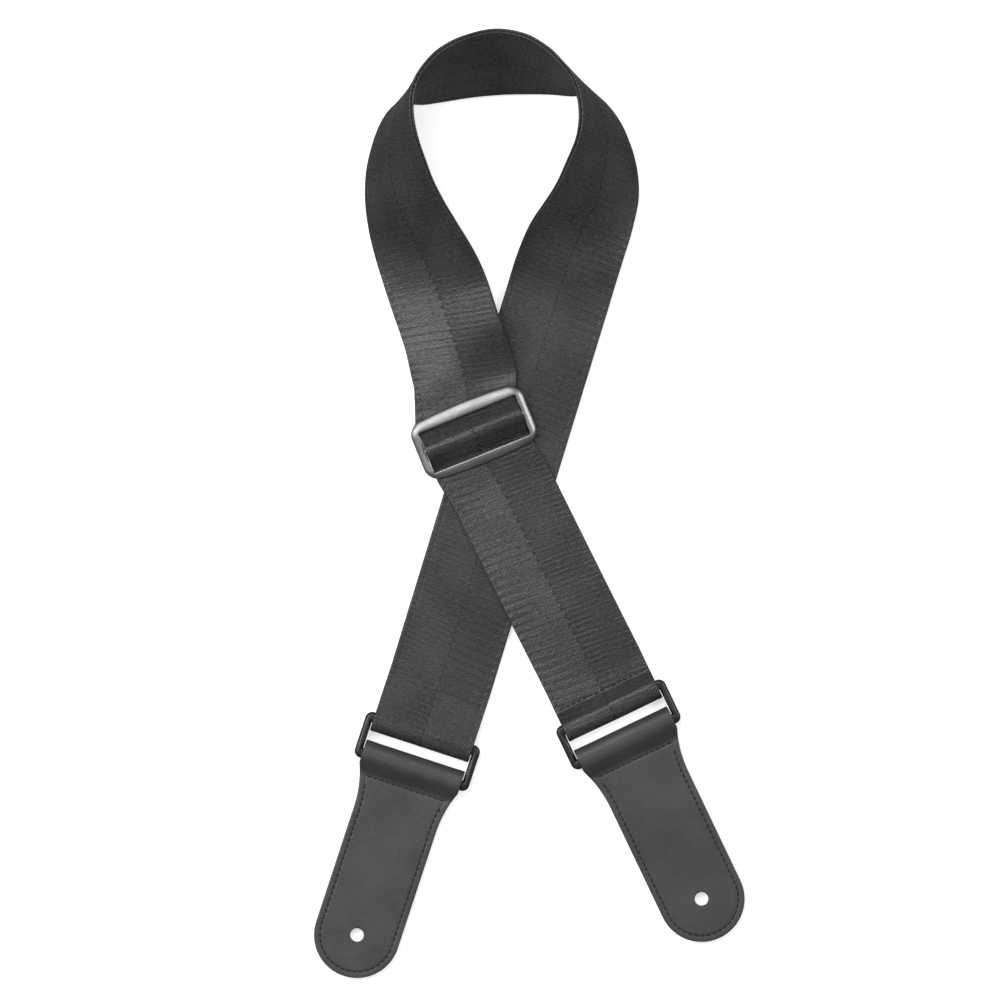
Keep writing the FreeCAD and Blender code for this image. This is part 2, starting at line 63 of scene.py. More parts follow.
# ------------------------------------------------------------------ the strap's dimensions
WIDTH = 50.0
PLY = 1.3
PITCH = 1.5
LEATHER = 1.9
LOWER_PLY = 0.7
PAIR_MIDDLE = LOWER_PLY + PITCH / 2
CROSSING_PLY = LOWER_PLY + PITCH * 2 + 0.1
BAR_HEIGHT = 5.1
BAR_SPACING = 18.0
BAR_WRAP = 3.2
FOLD_SLACK = 2.0
WRAP = BAR_WRAP + PLY / 2
NECK_LIFT = 0.35
MIDDLE = Vector((-0.63, -0.31, 0))
SLIDER_AT = Vector((-27.4, 34.0, 8.5)) - MIDDLE
RING_RIGHT_AT = Vector((42.4, -107.0, BAR_HEIGHT)) - MIDDLE
RING_LEFT_AT = Vector((-54.7, -120.0, BAR_HEIGHT)) - MIDDLE
SLIDER_TURN = 22.0
RING_RIGHT_TURN = 25.5
RING_LEFT_TURN = -18.2
RIGHT_STRAND_TURN = 26.0
LEFT_STRAND_TURN = -17.1
LOOP_INNER = 1.8
LOOP_CLOSING = 7.6
LOOP_TAIL = 13.5
LOOP_SEAM = 12.0
LOOP_DESCENT = math.radians(20.0)
HUMP = LOOP_INNER + PLY * 1.5 + 0.3
UNDER_TOP_BAR = CROSSING_PLY + PITCH * 2 + 0.3
UNDER_BOTTOM_BAR = 4.65
FOLD_TAIL = 13.5
LEFT_FOLD_REACH = 28.0
SEAM_REACH = 9.5

# Lines across the neck loop, as listed: the lower edge's x and y near the table, then the raised
# edge's x and y and its height above the lower edge. Only the direction of each line matters beyond
# its lower edge, because the webbing keeps its width.
NECK = [
    (-59.8, 72.0, -14.2, 84.5, 14.0),
    (-66.5, 92.5, -21.0, 106.5, 15.5),
    (-71.0, 106.5, -29.0, 122.0, 21.5),
    (-75.0, 120.0, -36.0, 135.0, 27.5),
    (-77.8, 133.0, -42.2, 145.5, 33.0),
    (-79.2, 146.5, -47.3, 155.0, 37.7),
    (-78.6, 160.0, -51.3, 165.0, 41.6),
    (-75.5, 173.0, -55.0, 176.0, 45.5),
    (-71.3, 183.5, -57.2, 187.0, 47.9),
    (-66.0, 190.5, -57.0, 197.0, 48.8),
    (-60.0, 193.3, -54.8, 204.5, 48.5),
    (-52.0, 193.2, -50.5, 211.2, 46.6),
    (-42.0, 194.6, -43.3, 218.3, 44.0),
    (-29.5, 196.5, -32.5, 224.0, 41.6),
    (-15.6, 197.7, -17.5, 227.5, 40.1),
    (-4.5, 198.2, -3.0, 225.2, 42.1),
    (8.0, 198.2, 8.0, 218.6, 45.6),
    (18.5, 197.4, 14.2, 212.5, 47.5),
    (26.5, 197.2, 17.3, 209.0, 47.6),
    (33.0, 194.5, 19.8, 205.5, 46.9),
    (38.5, 189.0, 22.2, 199.5, 46.1),
    (43.0, 182.5, 23.7, 192.5, 45.0),
    (46.3, 175.5, 23.9, 184.0, 43.9),
    (49.2, 167.5, 22.3, 175.0, 41.5),
    (51.2, 158.0, 18.6, 166.0, 37.0),
    (51.6, 146.5, 13.0, 154.0, 30.9),
    (49.0, 133.0, 6.7, 144.2, 24.1),
    (45.2, 119.5, -1.0, 132.6, 13.5),
    (41.0, 105.5, -7.0, 118.6, 5.0),
]


# ------------------------------------------------------------------ routes of the webbing
def heading(turn):
    """Level direction `turn` degrees from +Y towards -X."""
    return Vector((-math.sin(math.radians(turn)), math.cos(math.radians(turn)), 0))


def across_of(turn):
    return Vector((math.cos(math.radians(turn)), math.sin(math.radians(turn)), 0))


def flat_station(origin, turn, distance, height):
    place = origin + heading(turn) * distance
    return Vector((place.x, place.y, height)), across_of(turn)


def slider_station(distance, height):
    return flat_station(SLIDER_AT, SLIDER_TURN, distance, height)


def above_slider(distance, aside, turn, height):
    """A level line above the slider's middle bar, moved `aside` along the slider's own length."""
    sideways = across_of(SLIDER_TURN) * aside
    return flat_station(SLIDER_AT + sideways + heading(SLIDER_TURN) * distance, turn, 0, height)


def hump_station(degrees):
    angle = math.radians(degrees)
    return slider_station(HUMP * math.cos(angle), SLIDER_AT.z + HUMP * math.sin(angle))


def neck_station(row):
    lower = Vector((row[0], row[1], PAIR_MIDDLE + NECK_LIFT)) - MIDDLE
    raised = Vector((row[2], row[3], PAIR_MIDDLE + NECK_LIFT + row[4])) - MIDDLE
    across = (raised - lower).normalized()
    return lower + across * (WIDTH / 2), across


def spline(values, number, share):
    """Catmull-Rom curve through a list, at `share` of the way from one value to the next."""
    last = len(values) - 1
    p0, p1, p2, p3 = (values[min(max(number + step, 0), last)] for step in (-1, 0, 1, 2))
    curve = p1 * 2 + (p2 - p0) * share + (p0 * 2 - p1 * 5 + p2 * 4 - p3) * share**2
    return (curve + (p1 * 3 - p0 - p2 * 3 + p3) * share**3) * 0.5


def dense(stations, step, before=None, after=None):
    """The same run with a station about every `step`, smooth through the given ones.

    `before` and `after` are the neighbouring stations of the runs that it joins.
    """
    padded = [before or stations[0]] + stations + [after or stations[-1]]
    middles = [middle for middle, across in padded]
    sides = [across for middle, across in padded]
    run = []
    for number in range(1, len(stations)):
        count = max(1, round((middles[number + 1] - middles[number]).length / step))
        for part in range(count):
            share = part / count
            run.append((spline(middles, number, share), spline(sides, number, share).normalized()))
    return run + [stations[-1]]


def framed(stations):
    """Adds the outer face's direction to each (middle, across) station."""
    frames = []
    for number, (middle, across) in enumerate(stations):
        before = stations[max(number - 1, 0)][0]
        after = stations[min(number + 1, len(stations) - 1)][0]
        frames.append((middle, across, across.cross(after - before).normalized()))
    return frames


def shifted(frames, distance):
    return [(middle + normal * distance, across, normal) for middle, across, normal in frames]


def fold_path(inner, ply, closing, reach, drop=0.0, descent=0.0, slack=0.0, soften=0.9):
    """Middle line of a ply folded round a bar, as (along, height) points from the upper leg's end.

    The upper leg comes in at `reach`, climbs over the bar from `closing`, turns round it and goes back
    as the lower leg.
    """
    radius = inner + ply / 2
    low = -radius - drop
    high = low + ply + (PITCH - PLY)
    crossing = high - ply / 2
    lean = math.atan2(crossing, closing) + math.acos(inner / math.hypot(closing, crossing))
    start = Vector((math.cos(lean), math.sin(lean))) * radius
    corner = start.x + (start.y - high) * math.tan(lean)
    points = [Vector((reach, high)), Vector((corner, high)), start]
    turns = 24
    for number in range(1, turns + 1):
        angle = lean + (math.pi / 2 - lean) * number / turns
        points.append(Vector((math.cos(angle), math.sin(angle))) * radius)
    last = math.radians(270) - descent
    for number in range(turns * 2 + 1):
        angle = math.pi / 2 + (last - math.pi / 2) * number / (turns * 2)
        points.append(Vector((-slack + radius * math.cos(angle), radius * math.sin(angle))))
    if drop:
        end = points[-1]
        points.append(Vector((end.x + (end.y - low) / math.tan(descent), low)))
    points.append(Vector((reach, low)))
    return smoothed(points, soften)


def evenly(points, step):
    """Points every `step` along straight runs between the given ones."""
    even = [points[0]]
    for before, after in zip(points, points[1:]):
        count = max(1, round((after - before).length / step))
        even += [before.lerp(after, part / count) for part in range(1, count + 1)]
    return even


def smoothed(points, reach):
    """The line with its corners eased over about `reach`."""
    step = 0.3
    line = evenly(points, step)
    for _ in range(int((reach / step) ** 2)):
        line = [line[0]] + [
            (a + b * 2 + c) / 4 for a, b, c in zip(line, line[1:], line[2:])
        ] + [line[-1]]
    return line


def folded(bar, turn, path):
    """Stations along a fold; `bar` is the bar's middle and the legs run along `turn`."""
    out = heading(turn)
    side = across_of(turn)
    return [(bar + out * point.x + Vector((0, 0, point.y)), side) for point in path]


neck = [neck_station(row) for row in NECK]
right_leg_end = neck[-1][0]
left_bar = RING_LEFT_AT + heading(RING_LEFT_TURN) * (BAR_SPACING / 2)
right_bar = RING_RIGHT_AT + heading(RING_RIGHT_TURN) * (BAR_SPACING / 2)
left_fold_start = left_bar + heading(RING_LEFT_TURN) * LEFT_FOLD_REACH
back_run = Vector((right_leg_end.x - left_fold_start.x, right_leg_end.y - left_fold_start.y, 0))
back_strand = []
for share, lift in ((0.93, 0.5), (0.84, 0.1), (0.7, 0.0), (0.45, 0.0), (0.2, 0.0)):
    spot = left_fold_start + back_run * share
    back_strand.append(flat_station(spot, LEFT_STRAND_TURN, 0, PAIR_MIDDLE + lift))
back_strand.append(flat_station(left_fold_start, RING_LEFT_TURN, 0, PAIR_MIDDLE))
back_strand = [(middle, across * -1) for middle, across in back_strand]

STEP = 0.7
PAIR_LIFT = Vector((0, 0, PITCH / 2))
last_middle, last_side = above_slider(26.0, 5.8, 15.0, UNDER_TOP_BAR + 0.2)
pair = framed(dense(neck + back_strand, STEP, before=(last_middle - PAIR_LIFT, last_side)))
outer_route = shifted(pair, PITCH / 2)
inner_route = shifted(pair, -PITCH / 2)

strand_end = right_bar + heading(RING_RIGHT_TURN) * FOLD_TAIL
fold_strand_height = BAR_HEIGHT - WRAP + PITCH
front_strand = [
    flat_station(strand_end, RING_RIGHT_TURN, 0, fold_strand_height),
    flat_station(strand_end, RING_RIGHT_TURN, 8, fold_strand_height),
]
strand_run = Vector((SLIDER_AT.x - strand_end.x, SLIDER_AT.y - strand_end.y, 0))
for share in (0.25, 0.45, 0.65, 0.77):
    front_strand.append(flat_station(strand_end + strand_run * share, RIGHT_STRAND_TURN, 0, CROSSING_PLY))
front_strand += [
    slider_station(-16.5, UNDER_BOTTOM_BAR),
    slider_station(-13.0, UNDER_BOTTOM_BAR),
    slider_station(-10.2, UNDER_BOTTOM_BAR),
    slider_station(-8.0, 5.95),
    hump_station(134.9),
    hump_station(112),
    hump_station(90),
]
upper_strand = [
    hump_station(70),
    hump_station(51.4),
    slider_station(7.0, UNDER_TOP_BAR + 1.0),
    slider_station(9.2, UNDER_TOP_BAR),
    above_slider(13.0, 1.4, 20.0, UNDER_TOP_BAR + 0.2),
    above_slider(17.0, 3.3, 18.0, UNDER_TOP_BAR + 0.3),
    above_slider(26.0, 5.8, 15.0, UNDER_TOP_BAR + 0.2),
    outer_route[0][:2],
]
FINE_STEP = 0.5
next_row = (neck[1][0] + PAIR_LIFT, neck[1][1])
front_run = dense(front_strand, FINE_STEP, after=upper_strand[0])
upper_run = dense([front_strand[-1]] + upper_strand, FINE_STEP, before=front_strand[-2], after=next_row)
over_slider = framed(front_run + upper_run[1:])
crest = len(front_run) - 1
over_slider[-1] = outer_route[0]
return_stations = [
    inner_route[0][:2],
    above_slider(30.0, 6.6, 14.5, CROSSING_PLY + 0.6),
    above_slider(20.0, 3.0, 18.0, CROSSING_PLY),
    slider_station(LOOP_TAIL + 0.3, CROSSING_PLY),
]
return_strand = framed(dense(return_stations, STEP))
return_strand = [(middle, across, normal * -1) for middle, across, normal in return_strand]
return_strand[0] = inner_route[0]

right_fold_path = fold_path(BAR_WRAP, PLY, SEAM_REACH - 1.6, FOLD_TAIL, slack=FOLD_SLACK)
left_fold_path = fold_path(BAR_WRAP, PLY, 20.0, LEFT_FOLD_REACH, slack=FOLD_SLACK)
LOOP_DROP = SLIDER_AT.z - CROSSING_PLY - LOOP_INNER - PLY / 2
loop_path = fold_path(LOOP_INNER, PLY, LOOP_CLOSING, LOOP_TAIL, LOOP_DROP, LOOP_DESCENT, soften=0.5)


# ------------------------------------------------------------------ meshes
def new_object(name, points, faces, uvs=None):
    """A smooth-shaded mesh object from millimetre points; uvs holds one pair for each point."""
    mesh = bpy.data.meshes.new(name)
    mesh.from_pydata([tuple(point * MM) for point in points], [], faces)
    mesh.update()
    if uvs is not None:
        layer = mesh.uv_layers.new(name="strap")
        for loop in mesh.loops:
            layer.data[loop.index].uv = uvs[loop.vertex_index]
    mesh.polygons.foreach_set("use_smooth", [True] * len(mesh.polygons))
    tidy = bmesh.new()
    tidy.from_mesh(mesh)
    bmesh.ops.recalc_face_normals(tidy, faces=tidy.faces)
    tidy.to_mesh(mesh)
    tidy.free()
    thing = bpy.data.objects.new(name, mesh)
    bpy.context.scene.collection.objects.link(thing)
    return thing


RIB_PITCH = 4.0
RIB_DEEP = 0.07
WAVE_HIGH = 0.2
SPINE_PITCH = 4.3
SELVAGE_PITCH = 3.9


def weave_height(across, along):
    """Relief of the webbing's face at a place across (-25 to 25) and along it."""
    panel = min(1.0, abs(across) / 1.2) * min(1.0, max(0.0, (24.2 - abs(across)) / 1.8))
    bent = along + 1.1 * noise.noise(Vector((across * 0.05, along * 0.03, 5.0))) + 0.05 * across
    cycle = bent / RIB_PITCH if across < 0 else bent / (RIB_PITCH * 0.66) + 0.4
    lean = 0.55 if across < 0 else -0.55
    angle = 2 * math.pi * cycle
    groove = 0.5 + 0.5 * math.cos(angle + lean * math.sin(angle))
    uneven = 0.55 + 1.1 * noise.noise(Vector((across * 0.07, along * 0.022, 3.0)))
    rib = -RIB_DEEP * groove * panel * min(1.4, max(0.1, uneven))
    spine = math.exp(-(across / 0.55) ** 2)
    dimple = -0.13 * spine * (0.4 + 0.6 * math.cos(2 * math.pi * along / SPINE_PITCH))
    edge = math.exp(-((abs(across) - 23.5) / 0.6) ** 2)
    pitch = SELVAGE_PITCH if across < 0 else 1.6
    selvage = 0.1 * edge * math.cos(2 * math.pi * along / pitch)
    channel = -0.05 * math.exp(-((abs(across) - 22.1) / 0.45) ** 2)
    return rib + dimple + selvage + channel


def wave_height(across, travel):
    """How far both faces together stand off the flat, where the webbing isn't quite even."""
    return WAVE_HIGH * noise.noise(Vector((across * 0.03, travel * 0.04, 7.0)))


def lifted_height(across, travel):
    """The same unevenness, only upwards, for a strand that lies close over another."""
    return abs(wave_height(across, travel))


def level_height(across, travel):
    """No unevenness, for the strand that lies between two others."""
    return 0.0


# Where the neck loop leaves the strands it dips a little, and higher up it is crowned across its width.
DIP_AT, DIP_LONG, DIP_DEEP = 33.0, 13.0, 1.7
CROWN_AT, CROWN_LONG, CROWN_HIGH = 82.0, 24.0, 2.2


def neck_height(across, travel):
    """The wave of both layers of the neck loop, with its dip and its crown."""
    dip = DIP_DEEP * math.exp(-((travel - DIP_AT) / DIP_LONG) ** 2) * (0.5 + across / WIDTH)
    crown = CROWN_HIGH * math.exp(-((travel - CROWN_AT) / CROWN_LONG) ** 2) * (1 - (2 * across / WIDTH) ** 2)
    return wave_height(across, travel) - dip + crown


def across_marks():
    """Places across one face: closer together at the spine and at the woven edges."""
    marks = [0.0, 0.35, 0.7, 1.1, 1.6]
    while marks[-1] < 20.6:
        marks.append(marks[-1] + 1.4)
    marks += [21.4, 21.8, 22.1, 22.45, 22.8, 23.1, 23.4, 23.75, 24.1, 24.35]
    return [-mark for mark in marks[:0:-1]] + marks


MARKS = across_marks()
EDGE_ROUND = 0.6
CALM_FRAMES = 12


def calm(number, count):
    """Share of the wave kept at a frame: none at the ends, where one piece meets the next."""
    return min(1.0, min(number, count - 1 - number) / CALM_FRAMES)


def strip(name, frames, along=0.0, sense=1, wave=wave_height):
    """A woven band through the frames, closed at its ends. Returns the object.

    `along` is the distance on the whole strap where the band starts; `sense` is -1 where it runs back.
    """
    section = [(mark, 1.0) for mark in MARKS]
    for turn in (60, 30, 0, -30, -60):
        angle = math.radians(turn)
        section.append((WIDTH / 2 - EDGE_ROUND + EDGE_ROUND * math.cos(angle), math.sin(angle)))
    section += [(mark, -1.0) for mark in MARKS[::-1]]
    for turn in (240, 210, 180, 150, 120):
        angle = math.radians(turn)
        section.append((-WIDTH / 2 + EDGE_ROUND + EDGE_ROUND * math.cos(angle), math.sin(angle)))
    ring = len(section)
    points = []
    uvs = []
    for number, (middle, side, normal) in enumerate(frames):
        if number:
            along += (middle - frames[number - 1][0]).length * sense
        for place, rise in section:
            high = PLY / 2 * rise + wave(place, number * STEP) * calm(number, len(frames))
            if abs(rise) == 1.0:
                high += rise * (weave_height(place, along) - 0.03)
            points.append(middle + side * place + normal * high)
            uvs.append((place * 0.02, along * 0.02))
    faces = []
    for row in range(len(frames) - 1):
        first = row * ring
        for column in range(ring):
            beside = (column + 1) % ring
            faces.append((first + column, first + beside, first + ring + beside, first + ring + column))
    half = len(MARKS)
    for first in (0, (len(frames) - 1) * ring):
        top = list(range(half))
        bottom = [2 * half + 4 - mark for mark in top]
        for column in range(half - 1):
            quad = (top[column], top[column + 1], bottom[column + 1], bottom[column])
            faces.append(tuple(first + corner for corner in quad))
        right = [first + corner for corner in range(half - 1, half + 6)]
        left = [first + corner for corner in range(2 * half + 4, ring)] + [first]
        faces.append(tuple(right))
        faces.append(tuple(left))
    thing = new_object(name, points, faces, uvs)
    last = (len(frames) - 1) * ring
    sharp = thing.data.attributes.new("sharp_edge", "BOOLEAN", "EDGE")
    for edge in thing.data.edges:
        one, other = edge.vertices
        sharp.data[edge.index].value = max(one, other) < ring or min(one, other) >= last
    return thing


def place(thing, body, slot, nodes, material):
    thing.data.materials.append(material)
    if body is not None:
        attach(thing, body)
    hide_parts(*nodes)
    return thing


# ------------------------------------------------------------------ materials
class Shader:
    """Short names for building one material's nodes."""

    def __init__(self, name, colour, roughness, **sockets):
        self.material = bpy.data.materials.new(name)
        self.material.use_nodes = True
        self.tree = self.material.node_tree
        self.surface = self.tree.nodes["Principled BSDF"]
        self.surface.inputs["Base Color"].default_value = (*colour, 1)
        self.surface.inputs["Roughness"].default_value = roughness
        for socket, value in sockets.items():
            self.surface.inputs[socket.replace("_", " ")].default_value = value

    def add(self, kind, inputs=None, **settings):
        node = self.tree.nodes.new(kind)
        for key, value in settings.items():
            setattr(node, key, value)
        for key, value in (inputs or {}).items():
            if hasattr(value, "is_output"):
                self.tree.links.new(value, node.inputs[key])
            else:
                node.inputs[key].default_value = value
        return node

    def maths(self, operation, first, second=0.0):
        return self.add("ShaderNodeMath", {0: first, 1: second}, operation=operation).outputs[0]

    def noise(self, where, scale, detail=2.0):
        inputs = {"Vector": where, "Scale": scale, "Detail": detail}
        return self.add("ShaderNodeTexNoise", inputs).outputs[0]

    def ramp(self, factor, low, high, start=0.0, end=1.0):
        """A value or colour that goes from `low` to `high` as the factor goes from start to end."""
        node = self.add("ShaderNodeValToRGB")
        self.tree.links.new(factor, node.inputs[0])
        for element, colour, position in zip(node.color_ramp.elements, (low, high), (start, end)):
            element.position = position
            element.color = (*colour, 1) if hasattr(colour, "__len__") else (colour,) * 3 + (1,)
        return node.outputs["Color"]

    def feed(self, output, socket):
        self.tree.links.new(output, self.surface.inputs[socket])

    def bump(self, height, distance, strength=1.0, under=None):
        inputs = {"Height": height, "Distance": distance, "Strength": strength}
        node = self.add("ShaderNodeBump", inputs)
        if under is not None:
            self.tree.links.new(under, node.inputs["Normal"])
        return node.outputs["Normal"]


TWILL_PITCH = 1.6
WEFT_PITCH = 1.9
WARP_PITCH = 2.0
FINE_RIB_PITCH = 2.7
RIB_RATE = (1 / FINE_RIB_PITCH + 1 / RIB_PITCH) / 2
RIB_RATE_SPREAD = (1 / FINE_RIB_PITCH - 1 / RIB_PITCH) / 2


def webbing_material():
    made = Shader("webbing_weave", (0.022, 0.022, 0.024), 0.42)
    uv = made.add("ShaderNodeUVMap", uv_map="strap").outputs["UV"]
    parts = made.add("ShaderNodeSeparateXYZ", {"Vector": uv})
    across = made.maths("MULTIPLY", parts.outputs["X"], 50.0)
    along = made.maths("MULTIPLY", parts.outputs["Y"], 50.0)
    spine = made.maths("LESS_THAN", made.maths("ABSOLUTE", across), 0.45)
    stitch_wave = made.maths("SINE", made.maths("MULTIPLY", along, 2 * math.pi / SPINE_PITCH))
    dots = made.maths("GREATER_THAN", stitch_wave, -0.3)
    stitched = made.maths("MULTIPLY", spine, dots)
    # The twill leans one way on one side of the spine and the other way on the other side.
    side = made.maths("SIGN", across)
    slant = made.maths("ADD", made.maths("MULTIPLY", made.maths("ABSOLUTE", across), 0.9), along)
    saw = made.maths("FRACT", made.maths("DIVIDE", slant, TWILL_PITCH))
    twill = made.maths("MULTIPLY", made.maths("SUBTRACT", saw, 0.5), side)
    place = made.add("ShaderNodeCombineXYZ", {"X": across, "Y": along}).outputs["Vector"]
    wefts = made.add("ShaderNodeMapping", {"Vector": place, "Scale": (0.5, 1.7, 1.0)}).outputs["Vector"]
    grain = made.noise(wefts, 0.9, 3.0)
    drift = made.maths("MULTIPLY", made.noise(place, 0.12, 2.0), 1.6)
    weft_place = made.maths("ADD", made.maths("ADD", along, drift), made.maths("MULTIPLY", across, 0.12))
    weft = made.maths("SINE", made.maths("MULTIPLY", weft_place, 2 * math.pi / WEFT_PITCH))
    warp = made.maths("SINE", made.maths("MULTIPLY", across, 2 * math.pi / WARP_PITCH))
    knots = made.maths("MULTIPLY", weft, warp)
    weave = made.maths("ADD", made.maths("MULTIPLY", weft, 0.25), made.maths("MULTIPLY", knots, 0.5))
    cloudy = made.noise(place, 0.035, 2.0)
    # Ribs across the webbing, wide on one side of the spine and narrow on the other, which come and go.
    rate = made.maths("ADD", made.maths("MULTIPLY", side, RIB_RATE_SPREAD), RIB_RATE)
    cycle = made.maths("MULTIPLY", made.maths("MULTIPLY", weft_place, rate), 2 * math.pi)
    shown = made.ramp(made.noise(place, 0.05, 1.0), 0.2, 1.0, 0.36, 0.58)
    ribs = made.maths("MULTIPLY", made.maths("SINE", cycle), shown)
    tone = made.maths("ADD", made.maths("MULTIPLY", grain, 0.65), made.maths("MULTIPLY", cloudy, 0.35))
    tone = made.maths("ADD", tone, made.maths("MULTIPLY", weave, 0.03))
    tone = made.maths("ADD", tone, made.maths("MULTIPLY", ribs, 0.018))
    tone = made.maths("SUBTRACT", tone, made.maths("MULTIPLY", stitched, 0.16))
    # Painted sheen: the half on the positive side of the spine is painted slightly darker, standing in for
    # the two twill halves catching the light differently.
    tone = made.maths("SUBTRACT", tone, made.maths("MULTIPLY", side, 0.012))
    made.feed(made.ramp(tone, (0.010, 0.010, 0.011), (0.052, 0.052, 0.055), 0.37, 0.63), "Base Color")
    made.feed(made.ramp(tone, 0.52, 0.30, 0.36, 0.62), "Roughness")
    rough = made.bump(twill, 0.0001, 0.6, made.bump(grain, 0.0002, 0.8))
    made.feed(made.bump(ribs, 0.00004, 0.8, made.bump(weave, 0.00006, 0.7, rough)), "Normal")
    return made.material


def leather_material():
    made = Shader("tab_leather_grain", (0.03, 0.03, 0.032), 0.45)
    where = made.add("ShaderNodeTexCoord").outputs["Object"]
    cells = made.add("ShaderNodeTexVoronoi", {"Vector": where, "Scale": 900.0}, feature="SMOOTH_F1")
    pores = made.noise(where, 2600.0, 3.0)
    cloudy = made.noise(where, 45.0, 3.0)
    grain = made.maths("ADD", cells.outputs["Distance"], made.maths("MULTIPLY", pores, 0.7))
    tone = made.maths("ADD", made.maths("MULTIPLY", cloudy, 0.5), made.maths("MULTIPLY", pores, 0.5))
    made.feed(made.ramp(tone, (0.030, 0.030, 0.032), (0.060, 0.059, 0.061), 0.36, 0.64), "Base Color")
    made.feed(made.ramp(tone, 0.52, 0.4, 0.3, 0.7), "Roughness")
    made.feed(made.bump(grain, 0.0001, 0.8), "Normal")
    return made.material


def thread_material():
    made = Shader("bonded_thread", (0.012, 0.012, 0.013), 0.7)
    where = made.add("ShaderNodeTexCoord").outputs["Object"]
    twist = made.noise(where, 3000.0, 2.0)
    made.feed(made.ramp(twist, (0.008, 0.008, 0.009), (0.020, 0.020, 0.021), 0.3, 0.7), "Base Color")
    made.feed(made.bump(twist, 0.00005, 0.6), "Normal")
    return made.material


def plastic_material():
    made = Shader("ring_satin_plastic", (0.012, 0.012, 0.013), 0.36)
    where = made.add("ShaderNodeTexCoord").outputs["Object"]
    fine = made.noise(where, 1800.0, 3.0)
    cloudy = made.noise(where, 120.0, 2.0)
    made.feed(made.ramp(cloudy, (0.009, 0.009, 0.010), (0.018, 0.018, 0.019), 0.35, 0.65), "Base Color")
    made.feed(made.ramp(fine, 0.30, 0.44, 0.3, 0.7), "Roughness")
    made.feed(made.bump(fine, 0.00002, 0.5), "Normal")
    return made.material


def metal_material():
    made = Shader("slider_satin_nickel", (0.60, 0.60, 0.60), 0.3, Metallic=1.0)
    where = made.add("ShaderNodeTexCoord").outputs["Object"]
    fine = made.noise(where, 2200.0, 3.0)
    cloudy = made.noise(where, 90.0, 3.0)
    made.feed(made.ramp(cloudy, (0.25, 0.25, 0.255), (0.33, 0.33, 0.335), 0.3, 0.7), "Base Color")
    made.feed(made.ramp(fine, 0.36, 0.48, 0.3, 0.7), "Roughness")
    made.feed(made.bump(fine, 0.00001, 0.5), "Normal")
    return made.material


webbing_look = webbing_material()
leather_look = leather_material()
thread_look = thread_material()
plastic_look = plastic_material()
metal_look = metal_material()

# ------------------------------------------------------------------ the webbing's pieces
right_fold = framed(folded(right_bar, RING_RIGHT_TURN, right_fold_path))
left_fold = framed(folded(left_bar, RING_LEFT_TURN, left_fold_path))
loop_fold = framed(folded(SLIDER_AT, SLIDER_TURN, loop_path))


def run_length(frames):
    return sum((after[0] - before[0]).length for before, after in zip(frames, frames[1:]))


# Distances along the one strip of webbing, from where the front strand leaves the right ring.
front_frames = over_slider[:crest + 1]
upper_frames = over_slider[crest:]
left_fold = [(middle, across * -1, normal * -1) for middle, across, normal in left_fold]
front_length = run_length(front_frames)
upper_length = run_length(upper_frames)
outer_length = run_length(outer_route)
left_fold_length = run_length(left_fold)
inner_length = run_length(inner_route)
return_length = run_length(return_strand)
loop_length = run_length(loop_fold)
upper_start = front_length
outer_start = upper_start + upper_length
left_fold_start_along = outer_start + outer_length
inner_end = left_fold_start_along + left_fold_length
inner_start = inner_end + inner_length
loop_end = inner_start + return_length

right_fold_piece = strip("webbing_at_right_ring", right_fold, 0.0, -1)
front_piece = strip("webbing_front", front_frames)
upper_piece = strip("webbing_upper", upper_frames, upper_start, wave=lifted_height)
outer_piece = strip("webbing_neck_top_layer", outer_route, outer_start, wave=neck_height)
left_fold_piece = strip("webbing_at_left_ring", left_fold, left_fold_start_along)
inner_piece = strip("webbing_neck_under_layer", inner_route, inner_start, -1, neck_height)
return_piece = strip("webbing_return", return_strand, inner_start, wave=level_height)
loop_piece = strip("webbing_round_slider_bar", loop_fold, loop_end + loop_length, -1)

place(right_fold_piece, "webbing", "webbing", ["webbing_fold_right"], webbing_look)
place(left_fold_piece, "webbing", "webbing", ["webbing_fold_left"], webbing_look)
place(loop_piece, "slider", "webbing", ["webbing_slider_loop"], webbing_look)
place(front_piece, None, "webbing", ["webbing_front_strand"], webbing_look)
place(upper_piece, None, "webbing", ["webbing_upper_strand"], webbing_look)
place(outer_piece, "webbing", "webbing", ["webbing_neck_outer"], webbing_look)
place(inner_piece, "webbing", "webbing", ["webbing_neck_return"], webbing_look)
place(return_piece, None, "webbing", ["webbing_return_strand"], webbing_look)
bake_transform(front_piece)
# The ends of these strands are cut askew to the slider's way.
for strand in (upper_piece, return_piece):
    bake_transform(strand)


# ------------------------------------------------------------------ leather tabs
TAB_FOLD_HALF = 25.0
TAB_HALF = 20.8
FOLD_TIP = FOLD_SLACK + BAR_WRAP + LEATHER
SHOULDER_REACH = 4.2
WAIST_REACH = 26.0
HOLE_REACH = 84.3
HOLE_RADIUS = 3.25
TAB_SEAM_REACH = 9.7
SEAM_INSET = 3.0
STITCH_PITCH = 3.0
SEAM_START = TAB_SEAM_REACH + STITCH_PITCH
TAB_END = HOLE_REACH + TAB_HALF
tab_path = fold_path(BAR_WRAP, LEATHER, TAB_SEAM_REACH - 2.0, TAB_END, slack=FOLD_SLACK, soften=1.3)
tab_marks = [0.0]
for before, after in zip(tab_path, tab_path[1:]):
    tab_marks.append(tab_marks[-1] + (after - before).length)
TAB_RUN = tab_marks[-1]


def tab_half_width(reach, inset=0.0):
    """Half the tab's width at a distance from the bar's middle.

    Straight past the bar to the shoulder, then a hollow arc to the straight waist.
    """
    drop = TAB_FOLD_HALF - TAB_HALF
    run = WAIST_REACH - SHOULDER_REACH
    radius = (run**2 + drop**2) / (2 * drop)
    left = min(run, max(0.0, WAIST_REACH - reach))
    return TAB_HALF - inset + radius - math.sqrt(radius**2 - left**2)


